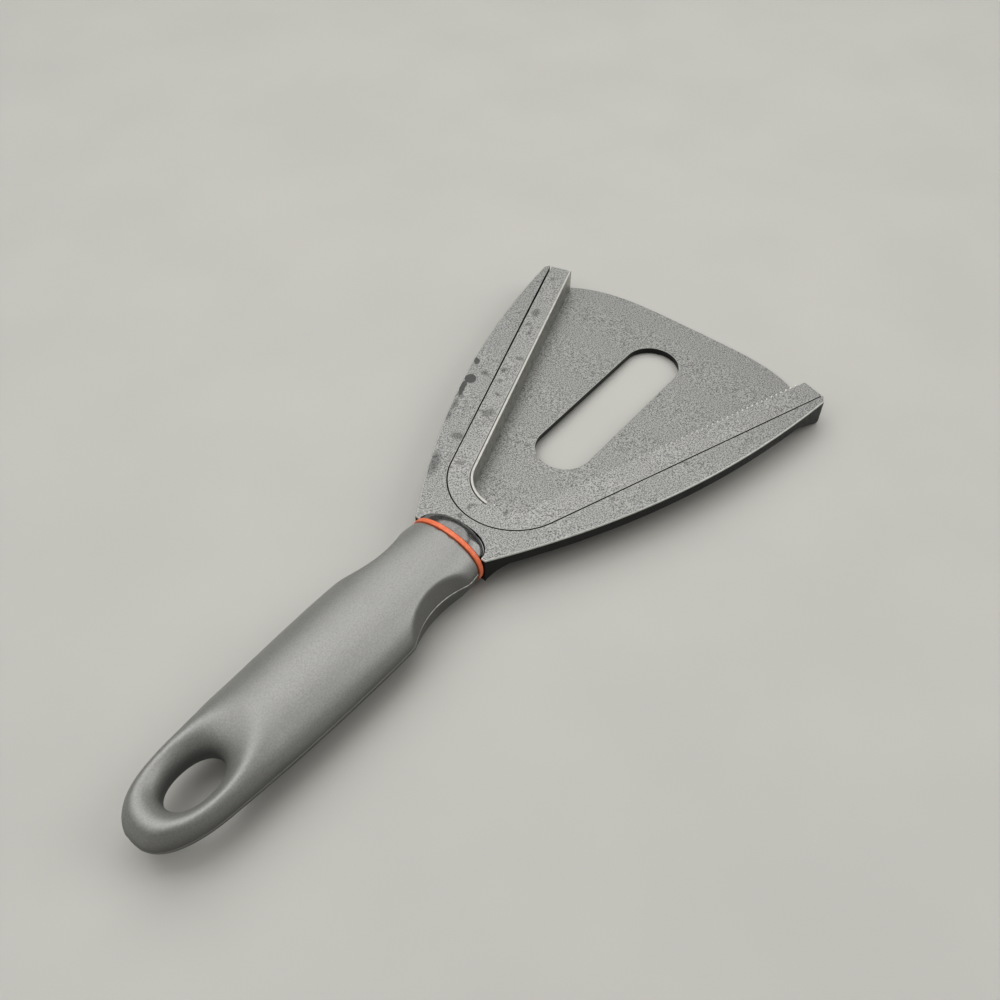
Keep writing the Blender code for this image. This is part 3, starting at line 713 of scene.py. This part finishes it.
def makeStrip():
    root = strip["tip"] + strip["depth"]
    back = root + strip["thick"]
    wallUnit = wallLength(jaw["heelRadius"])
    length = heelUnit + wallUnit - strip["endMargin"] - strip["start"]
    lip = jaw["heelRadius"] - strip["lipClear"]
    shoulder, flat = strip["tip"] + strip["crestFall"], strip["crestFlat"]
    tooth = [(0, root), (0.5 - flat, shoulder), (0.5, strip["tip"]), (0.5 + flat, shoulder)]
    rings = []
    for k in range(int(length / strip["pitch"])):
        for at, crest in tooth:
            distance = strip["start"] + (k + at) * strip["pitch"]
            place = distance / heelUnit
            if place > 1:
                place = 1 + (distance - heelUnit) / wallUnit
            share = min(max((lip - crest) / (lip - strip["tip"]), 0.0), 1.0)
            crown = strip["top"] + share * (strip["crown"] - strip["top"])
            behind = max(crest, lip)
            profile = [(crest, strip["foot"]), (back, strip["foot"]), (back, strip["top"])]
            profile += [(behind + 0.01, strip["top"]), (behind, crown)]
            profile += [(crest + strip["crownLean"] * (behind - crest), crown)]
            profile += [(crest, crown - strip["topRound"])]
            rings.append([(*jawPoint(place, offset), z) for offset, z in profile])
    return skin("toothed_strip", rings)


toothSteel = springSteel("tooth steel", strip["cutEdgeHighlight"])
settle(makeStrip(), "toothed_strip", toothSteel, sharp=25)
print("toothed strip made")


# Frame: the outer moulding from tip to tip, with the neck

shell = {
    "colour": (0.05, 0.053, 0.049),
    "neckLength": 9.95,
    "neckHalfWidth": 13.6,
    "neckPull": 42.9,
    "neckSlope": 0.644,
    "tipRim": 1.73,
    "tipSweep": 2.1,
    "tipPull": 42.0,
    "tipSlope": 0.142,
    "flange": 4.1,
    "footLength": 12.0,
    "neckFlare": 7.5,
    "undercut": 5.0,
    "edgeRound": 0.5,
    "seamRound": 0.1,
    "ledge": 3.5,
    "ledgeTop": 1.3,
    "rearSteps": 12,
    "keelClear": 0.9,
    "keelRise": 0.3,
    "keelSteps": 12,
    "keelSides": 72,
    "keelPower": 2.3,
    "endRound": 0.35,
    "axis": 6.3,
}
neckX = -(seamRadius + shell["neckLength"])


def outlineHalf(count):
    seamTip = Vector(jawPoint(-2, seamRadius + jaw["seam"] / 2))
    tip = seamTip + Vector((-shell["tipSweep"], shell["tipRim"]))
    neck = Vector((neckX, shell["neckHalfWidth"]))
    pullTip = tip - shell["tipPull"] * Vector((1, shell["tipSlope"]))
    pullNeck = neck + shell["neckPull"] * Vector((1, shell["neckSlope"]))
    return [Vector((p.x, p.y)) for p in interpolate_bezier(tip, pullTip, pullNeck, neck, count)]


def makeFrame():
    half = jaw["heelSteps"] + jaw["wallSteps"]
    outer = outlineHalf(half + 1 - shell["rearSteps"])
    outer += [Vector((neckX, shell["neckHalfWidth"] * (1 - (k + 1) / shell["rearSteps"])))
              for k in range(shell["rearSteps"])]
    places = [-2 + k / jaw["wallSteps"] for k in range(jaw["wallSteps"])]
    places += [-1 + k / jaw["heelSteps"] for k in range(jaw["heelSteps"] + 1)]
    deck, edge = jaw["deck"], shell["edgeRound"]
    tipX = outer[0].x

    def frameRing(k, mirror):
        point, place = outer[k], places[k]
        side = -1 if mirror else 1
        foot = (point.x - (tipX - shell["footLength"])) / shell["footLength"]
        neck = (neckX + shell["neckFlare"] - point.x) / shell["neckFlare"]
        share = min(max(foot, neck**2 if neck > 0 else 0.0, 0.0), 1.0)
        height = shell["flange"] + share * (deck - 2 * edge - shell["flange"])
        under = edge + (1 - share) * (shell["undercut"] - edge)
        along = (outer[min(k + 1, half)] - outer[max(k - 1, 0)]).normalized()
        inward = Vector((-along.y, along.x))
        if k > half - shell["rearSteps"]:
            inward = Vector((1.0, 0.0))
        if k == 0:
            inward = Vector((shell["tipSweep"], -shell["tipRim"])).normalized()
        profile = arc((edge, deck - edge), edge, 90, 180, 5)
        profile += arc((edge, deck - height + edge * 0.5), edge, 180, 225, 3) + [(under, 0.0)]
        section = []
        for shift, z in profile:
            spot = point + inward * shift
            section.append((spot.x, side * spot.y, z))
        groove = seamRadius + (seamSpread(place) if not mirror else jaw["seam"] / 2)
        ledge = seamRadius + jaw["seam"] / 2 - shell["ledge"]
        soft = shell["seamRound"]
        lip = [(ledge, 0.0), (ledge, shell["ledgeTop"]), (groove, shell["ledgeTop"])]
        lip += arc((groove + soft, deck - soft), soft, 180, 90, 3)
        for offset, z in lip:
            x, y = jawPoint(place, offset)
            section.append((x, side * y, z))
        return section

    rings = [frameRing(k, False) for k in range(half + 1)]
    rings += [frameRing(k, True) for k in reversed(range(half))]
    body = skin("jaw_frame", rings)
    endFace = Vector((shell["tipRim"], shell["tipSweep"])).normalized()

    def onEndFace(point):
        return abs((Vector((point.x, abs(point.y))) - outer[0]).dot(endFace)) < 0.05

    soften(body, shell["endRound"], 3, lambda p: onEndFace(p) and p.z > shell["ledgeTop"] + 0.3)

    keel = []
    for k in range(shell["keelSteps"] + 1):
        t = k / shell["keelSteps"]
        low = (shell["axis"] - grip["drops"][0] + shell["keelRise"]) * (1 - t) + edge * t
        section = oval(shell["neckHalfWidth"] - edge, deck - edge - shell["axis"],
                       shell["axis"] - low, shell["keelPower"], shell["keelPower"],
                       shell["keelSides"])
        x = neckX + (shell["neckLength"] - shell["keelClear"]) * t
        keel.append([(x, y, shell["axis"] + z) for y, z in section])
    carve(body, skin("keel", keel), "UNION")

    groove = collar["groove"]
    loop = scallopLoop(groove, 60)
    behind = neckX - collar["depth"]
    loop += [(behind, loop[-1][1]), (behind, loop[0][1])]
    levels = [collar["floor"], jaw["deck"] + 5]
    return carve(body, skin("scallop", [[(x, y, z) for x, y in loop] for z in levels]))


def scallopLoop(extra, count):
    turn = [pi * (k / count - 0.5) for k in range(count + 1)]
    depth, half, power = collar["depth"] + extra, collar["halfWidth"] + extra, collar["power"]
    return [(neckX + depth * curved(cos(a), power), half * curved(sin(a), power)) for a in turn]


# Collar: the polished dome in the scallop, with a flat ledge round its foot

collar = {
    "halfWidth": 11.65,
    "depth": 6.7,
    "power": 2.2,
    "groove": 0.35,
    "floor": 7.5,
    "drop": 0.4,
    "ledge": 0.85,
    "ledgeRound": 0.12,
    "endGap": 0.2,
    "domePower": 2.8,
    "domeSteps": 16,
    "floorGap": 0.3,
    "leastCrown": 0.05,
    "steps": 72,
}


def makeCollar():
    base = collar["floor"] + collar["floorGap"]
    rim = jaw["deck"] - collar["drop"]
    soft = collar["ledgeRound"]
    topPower = grip["topPowers"][0]
    rings = []
    for k in range(collar["steps"] + 1):
        across = -cos(pi * k / collar["steps"]) * (1 - collar["endGap"] / collar["halfWidth"])
        y = collar["halfWidth"] * across
        depth = collar["depth"] * (1 - abs(across) ** collar["power"]) ** (1 / collar["power"])
        inside = max(0.0, 1 - abs(y / grip["halfWidths"][0]) ** topPower)
        crown = shell["axis"] + grip["rises"][0] * inside ** (1 / topPower) - collar["drop"]
        crown = max(crown, rim + collar["leastCrown"])
        section = [(neckX, base), (neckX + depth, base)]
        section += arc((neckX + depth - soft, rim - soft), soft, 0, 90, 4)
        dome = depth * (1 - collar["ledge"] / collar["depth"])
        for n in range(collar["domeSteps"] + 1):
            a = pi / 2 * n / collar["domeSteps"]
            section.append((neckX + dome * curved(cos(a), collar["domePower"]),
                            rim + (crown - rim) * curved(sin(a), collar["domePower"])))
        rings.append([(x, y, z) for x, z in section])
    return skin("neck_collar", rings)


# Ring and grip

ring = {
    "front": -31.3,
    "width": 1.6,
    "proud": 0.2,
    "round": 0.3,
    "sides": 160,
    "boreHalfWidth": 9.3,
    "boreHalfHeight": 6.3,
    "borePower": 2.3,
}

grip = {
    "front": -33.2,
    "length": 113.6,
    "axis": 6.3,
    "stations": [0.0, 17.0, 35.0, 51.0, 71.0, 86.0, 113.6],
    "halfWidths": [13.1, 15.0, 15.65, 15.45, 14.7, 13.7, 11.5],
    "rises": [9.0, 9.7, 10.2, 10.3, 10.0, 9.6, 8.4],
    "drops": [8.4, 9.1, 9.5, 9.55, 8.95, 7.9, 7.25],
    "topPowers": [2.1, 2.15, 2.05, 2.0, 2.05, 2.5, 3.2],
    "bellyPowers": [2.4, 2.15, 2.05, 2.05, 2.05, 2.05, 2.05],
    "shy": 0.05,
    "buttLength": 21.4,
    "buttPower": 2.5,
    "buttFallLength": 9.0,  # the top stays high for longer
    "buttFallPower": 2.2,
    "scoopAt": 15.9,
    "scoopRadius": 26.0,
    "scoopHalfWidth": 11.3,
    "scoopTopLean": 0.22,
    "scoopBellyLean": 0.07,
    "scoopFillet": 0.45,
    "holeFromButt": 19.1,
    "holeHalfLength": 8.8,
    "holeHalfWidth": 5.9,
    "holePower": 2.2,
    "flare": 5.2,
    "flareHeight": 7.4,
    "flarePower": 2.6,
    "rimZone": 11.0,
    "rimTopReach": (0.85, 1.15),   # where the rim's rolled part fades out, in shares of the zone
    "rimTopRise": (0.5, 4.5),      # and in mm above the axis
    "rimBellyReach": (0.6, 0.9),
    "rimBellyDrop": (1.0, 4.0),
    "rimTurns": 330,
    "dishAhead": 5.0,
    "dishHalfLength": 16.5,
    "dishHalfWidth": 9.5,
    "dishDepth": 1.3,
    "voxel": 0.4,
    "evenTurns": 5,
    "sides": 128,
    "step": 0.9,
    "buttSteps": 40,
    "buttEnd": 0.03,
    "holeReach": 11.0,     # the hole's cutter goes this far above and below the axis
    "holeSteps": 20,
    "holeSides": 96,
}
buttX = grip["front"] - grip["length"]
holeX = buttX + grip["holeFromButt"]


def makeRing():
    outer = oval(grip["halfWidths"][0] + ring["proud"], grip["rises"][0] + ring["proud"],
                 grip["drops"][0] + ring["proud"], grip["topPowers"][0], grip["bellyPowers"][0],
                 ring["sides"])
    inner = oval(ring["boreHalfWidth"], ring["boreHalfHeight"], ring["boreHalfHeight"],
                 ring["borePower"], ring["borePower"], ring["sides"])
    front, rear, r = ring["front"], ring["front"] - ring["width"], ring["round"]
    rings = []
    for (yo, zo), (yi, zi) in zip(outer, inner):
        across = Vector((yo - yi, zo - zi))
        section = [(front, 0.0)]
        section += [(x, 1 + (h - r) / across.length) for x, h in arc((front - r, 0), r, 0, 90, 5)]
        section += [(x, 1 + (h - r) / across.length) for x, h in arc((rear + r, 0), r, 90, 180, 5)]
        section += [(rear, 0.0)]
        rings.append([(x, yi + across.x * s, grip["axis"] + zi + across.y * s) for x, s in section])
    return skin("accent_ring", rings, closed=True)


def between(values, at):  # smooth curve through the values at the grip's stations
    stations, last = grip["stations"], len(grip["stations"]) - 1
    at = min(max(at, stations[0]), stations[last])
    i = max(k for k in range(last) if stations[k] <= at)

    def slope(n):
        low, high = max(n - 1, 0), min(n + 1, last)
        return (values[high] - values[low]) / (stations[high] - stations[low])

    span = stations[i + 1] - stations[i]
    t = (at - stations[i]) / span
    return ((2 * t**3 - 3 * t**2 + 1) * values[i] + (t**3 - 2 * t**2 + t) * span * slope(i)
            + (3 * t**2 - 2 * t**3) * values[i + 1] + (t**3 - t**2) * span * slope(i + 1))


def closing(x, length, power):  # 1 along the grip, falling to 0 at the butt's end
    share = max((buttX + length - x) / length, 0.0)
    return max(0.0, 1 - share**power) ** (1 / power)


def gripRing(x):
    at = grip["front"] - x
    narrow = closing(x, grip["buttLength"], grip["buttPower"])
    halfWidth = between(grip["halfWidths"], at) * narrow
    rise = between(grip["rises"], at) * closing(x, grip["buttFallLength"], grip["buttFallPower"])
    drop = between(grip["drops"], at) * narrow
    away = x - (grip["front"] - grip["scoopAt"])
    waist = grip["scoopHalfWidth"] + grip["scoopRadius"]
    waist -= sqrt(max(grip["scoopRadius"] ** 2 - away**2, 0.0))
    section = []
    for y, z in oval(halfWidth, rise - grip["shy"], drop, between(grip["topPowers"], at),
                     between(grip["bellyPowers"], at), grip["sides"]):
        scoop = waist - (grip["scoopTopLean"] if z > 0 else grip["scoopBellyLean"]) * abs(z)
        side = abs(y)
        side = (side + scoop - sqrt((side - scoop) ** 2 + grip["scoopFillet"] ** 2)) / 2
        y = copysign(side, y)
        near = ((x - holeX - grip["dishAhead"]) / grip["dishHalfLength"]) ** 2
        near += (y / grip["dishHalfWidth"]) ** 2
        if z > 0 and near < 1:
            z -= grip["dishDepth"] * (1 - near) ** 2
        section.append((x, y, grip["axis"] + z))
    return section


def rimShare(point):  # 1 round the hole's rim, fading out towards the sides and the middle height
    power, zone = grip["holePower"], grip["rimZone"]
    along = abs(point.x - holeX) / (grip["holeHalfLength"] + zone)
    across = abs(point.y) / (grip["holeHalfWidth"] + zone)
    reach = (along**power + across**power) ** (1 / power)
    height = point.z - grip["axis"]
    if height > 0:
        return (1 - ease(*grip["rimTopReach"], reach)) * ease(*grip["rimTopRise"], height)
    return (1 - ease(*grip["rimBellyReach"], reach)) * ease(*grip["rimBellyDrop"], -height)


def makeGrip():
    straight = grip["length"] - grip["buttLength"]
    steps = ceil(straight / grip["step"])
    xs = [grip["front"] - straight * k / steps for k in range(steps)]
    turns = [pi / 2 * k / grip["buttSteps"] for k in range(grip["buttSteps"])]
    xs += [buttX + grip["buttLength"] * (1 - sin(turn)) for turn in turns]
    xs.append(buttX + grip["buttEnd"])
    body = skin("soft_grip", [gripRing(x) for x in xs])

    rings = []
    for k in range(-grip["holeSteps"], grip["holeSteps"] + 1):
        height = grip["holeReach"] * k / grip["holeSteps"]
        flare = grip["flare"] * abs(height / grip["flareHeight"]) ** grip["flarePower"]
        loop = oval(grip["holeHalfLength"] + flare, grip["holeHalfWidth"] + flare,
                    grip["holeHalfWidth"] + flare, grip["holePower"], grip["holePower"],
                    grip["holeSides"])
        rings.append([(holeX + x, y, grip["axis"] + height) for x, y in loop])
    carve(body, skin("hole", rings))

    remesh = body.modifiers.new("even mesh", "REMESH")
    remesh.mode = "VOXEL"
    remesh.voxel_size = grip["voxel"]
    bake(body)
    group = body.vertex_groups.new(name="hole rim")
    for vertex in body.data.vertices:
        share = rimShare(vertex.co)
        if share > 0:
            group.add([vertex.index], share, "REPLACE")
    for name, turns, where in (("soften", grip["evenTurns"], ""),
                               ("roll the rim", grip["rimTurns"], "hole rim")):
        smooth = body.modifiers.new(name, "SMOOTH")
        smooth.factor = 0.5
        smooth.iterations = turns
        smooth.vertex_group = where
    bake(body)
    body.vertex_groups.clear()
    return body


# Parting line: the fine ridge that the mould leaves along both sides of the grip

parting = {
    "halfWidth": 0.24,
    "proud": 0.13,
    "sunk": 0.5,
    "step": 0.8,
    "frontGap": 0.4,
    "buttStop": 0.25,
    "crowding": 0.9,       # below 1 the steps are longer in front and shorter at the butt
    # light colours of the ridge near the ring: rubbed wear and painted highlight
    "rubbedAndHighlit": ((0.3, 0.305, 0.29), (0.6, 0.605, 0.58)),
    "plain": (0.17, 0.172, 0.163),
    "fadeEnd": 27.0,       # the light part, rubbed wear and painted highlight, fades out at these distances behind the ring
    "fadeStart": 14.0,
}


def partingRubber():
    bench = Bench("parting rubber")
    wear = bench.ramp(bench.noise(1.2, 3, 0.6), 0.35, 0.65)
    front = bench.ramp(bench.reach(forward), grip["front"] - parting["fadeEnd"],
                       grip["front"] - parting["fadeStart"])
    # painted highlight: the ridge is coloured light near the ring, together with rubbed wear
    paint = bench.blend(wear, *parting["rubbedAndHighlit"])
    paint = bench.blend(front, parting["plain"], paint)
    return bench.finish(Base_Color=paint, Roughness=0.4 + 0.1 * wear,
                        Coat_Weight=0.4 + 0.25 * front, Coat_Roughness=0.3,
                        Normal=bench.bump(wear, 0.02))


def makeParting():
    reach = grip["length"] - parting["buttStop"]
    count = ceil(reach / parting["step"])
    gap = parting["frontGap"]
    path = []
    for k in range(count + 1):
        x = grip["front"] - gap - (reach - gap) * sin(pi / 2 * k / count) ** parting["crowding"]
        half = max(y for _, y, z in gripRing(x))
        path.append(Vector((x, half, grip["axis"])))
    path += [Vector((p.x, -p.y, p.z)) for p in reversed(path)]
    w, h, low = parting["halfWidth"], parting["proud"], parting["sunk"]
    section = [(-low, -w), (0.0, -w), (h * 0.75, -w * 0.5), (h, 0.0),
               (h * 0.75, w * 0.5), (0.0, w), (-low, w)]
    rings = []
    for k, point in enumerate(path):
        ahead = (path[min(k + 1, len(path) - 1)] - path[max(k - 1, 0)]).normalized()
        out = Vector((ahead.y, -ahead.x, 0))
        rings.append([point + out * a + Vector((0, 0, b)) for a, b in section])
    return skin("grip_parting_line", rings)


settle(makeFrame(), "jaw_frame", nylon("frame nylon", shell["colour"]))
print("frame made")
settle(makeCollar(), "neck_collar", glossBlack())
settle(makeRing(), "accent_ring", ringPlastic())
settle(makeGrip(), "soft_grip", gripRubber(), sharp=60)
settle(makeParting(), None, partingRubber(), sharp=60)
core = frame["nodes"]["handle_core"]
core.data.materials.clear()
core.data.materials.append(corePlastic())
print("collar, ring and grip made")


# Table, light and camera

table = {
    "size": 4.0,           # in metres
    "colour": (0.54, 0.535, 0.51),
    "shade": 0.96,
    "cloud": 60.0,         # in mm, as the grain
    "grain": 0.8,
    "roughness": 0.5,
}


def makeTable():
    half = table["size"] / 2
    corners = [(-half, -half, 0), (half, -half, 0), (half, half, 0), (-half, half, 0)]
    top = buildMesh("table_top", corners, [(0, 1, 2, 3)])
    bench = Bench("table")
    cloud = bench.noise(table["cloud"], 3, 0.5)
    grain = bench.noise(table["grain"], 2, 0.5)
    shaded = tuple(c * table["shade"] for c in table["colour"])
    paint = bench.blend(bench.ramp(cloud, 0.3, 0.7), shaded, table["colour"])
    top.data.materials.append(bench.finish(Base_Color=paint, Roughness=table["roughness"],
                                           Normal=bench.bump(grain, 0.01)))


lamps = [
    # name, heading and height in degrees, distance, width and length in metres, power
    ("overhead softbox", 48, 62, 1.3, 1.6, 1.6, 13.0),
    ("left softbox", 150, 55, 1.3, 1.2, 1.2, 6.0),
    ("right softbox", -48, 37, 1.3, 0.9, 0.9, 6.0),
]
lampColour = (1.0, 0.99, 0.955)
lampAim = (0.03, 0, 0.01)  # in metres
room = {"colour": (1.0, 1.0, 0.98), "strength": 0.13}


def makeLamps():
    aim = Vector(lampAim)
    for name, heading, height, distance, width, length, power in lamps:
        light = bpy.data.lights.new(name, "AREA")
        light.shape, light.size, light.size_y, light.energy = "RECTANGLE", width, length, power
        light.color = lampColour
        lamp = bpy.data.objects.new(name, light)
        h, e = radians(heading), radians(height)
        away = Vector((cos(h) * cos(e), sin(h) * cos(e), sin(e)))
        lamp.location = aim + away * distance
        lamp.rotation_euler = away.to_track_quat("Z", "Y").to_euler()
        bpy.context.scene.collection.objects.link(lamp)
    world = bpy.data.worlds.new("room")
    bpy.context.scene.world = world
    world.use_nodes = True
    world.node_tree.nodes["Background"].inputs["Color"].default_value = (*room["colour"], 1)
    world.node_tree.nodes["Background"].inputs["Strength"].default_value = room["strength"]


camera = {
    "place": (-165.5, -126.6, 240.65),  # in the tool's frame, in mm
    "pitch": 49.151,
    "heading": 38.668,
    "roll": 0.348,
    "lens": 36.0,
    "sensor": 36.0,
}


def makeCamera():
    data = bpy.data.cameras.new("camera")
    data.lens, data.sensor_width = camera["lens"], camera["sensor"]
    data.clip_start, data.clip_end = 0.01, 20
    eye = bpy.data.objects.new("camera", data)
    bpy.context.scene.collection.objects.link(eye)
    pitch, heading, roll = (radians(camera[key]) for key in ("pitch", "heading", "roll"))
    look = Vector((cos(heading) * cos(pitch), sin(heading) * cos(pitch), -sin(pitch)))
    level = Vector((sin(heading), -cos(heading), 0))
    up = level.cross(look)
    right = level * cos(roll) + up * sin(roll)
    up = up * cos(roll) - level * sin(roll)
    turn = Matrix((right, up, -look)).transposed()
    turn = toolPlace.to_3x3().normalized() @ turn
    eye.matrix_world = Matrix.Translation(toolPlace @ Vector(camera["place"])) @ turn.to_4x4()
    bpy.context.scene.camera = eye


makeTable()
makeLamps()
makeCamera()
bpy.context.scene.view_settings.view_transform = "Standard"
print("table, lamps and camera set")
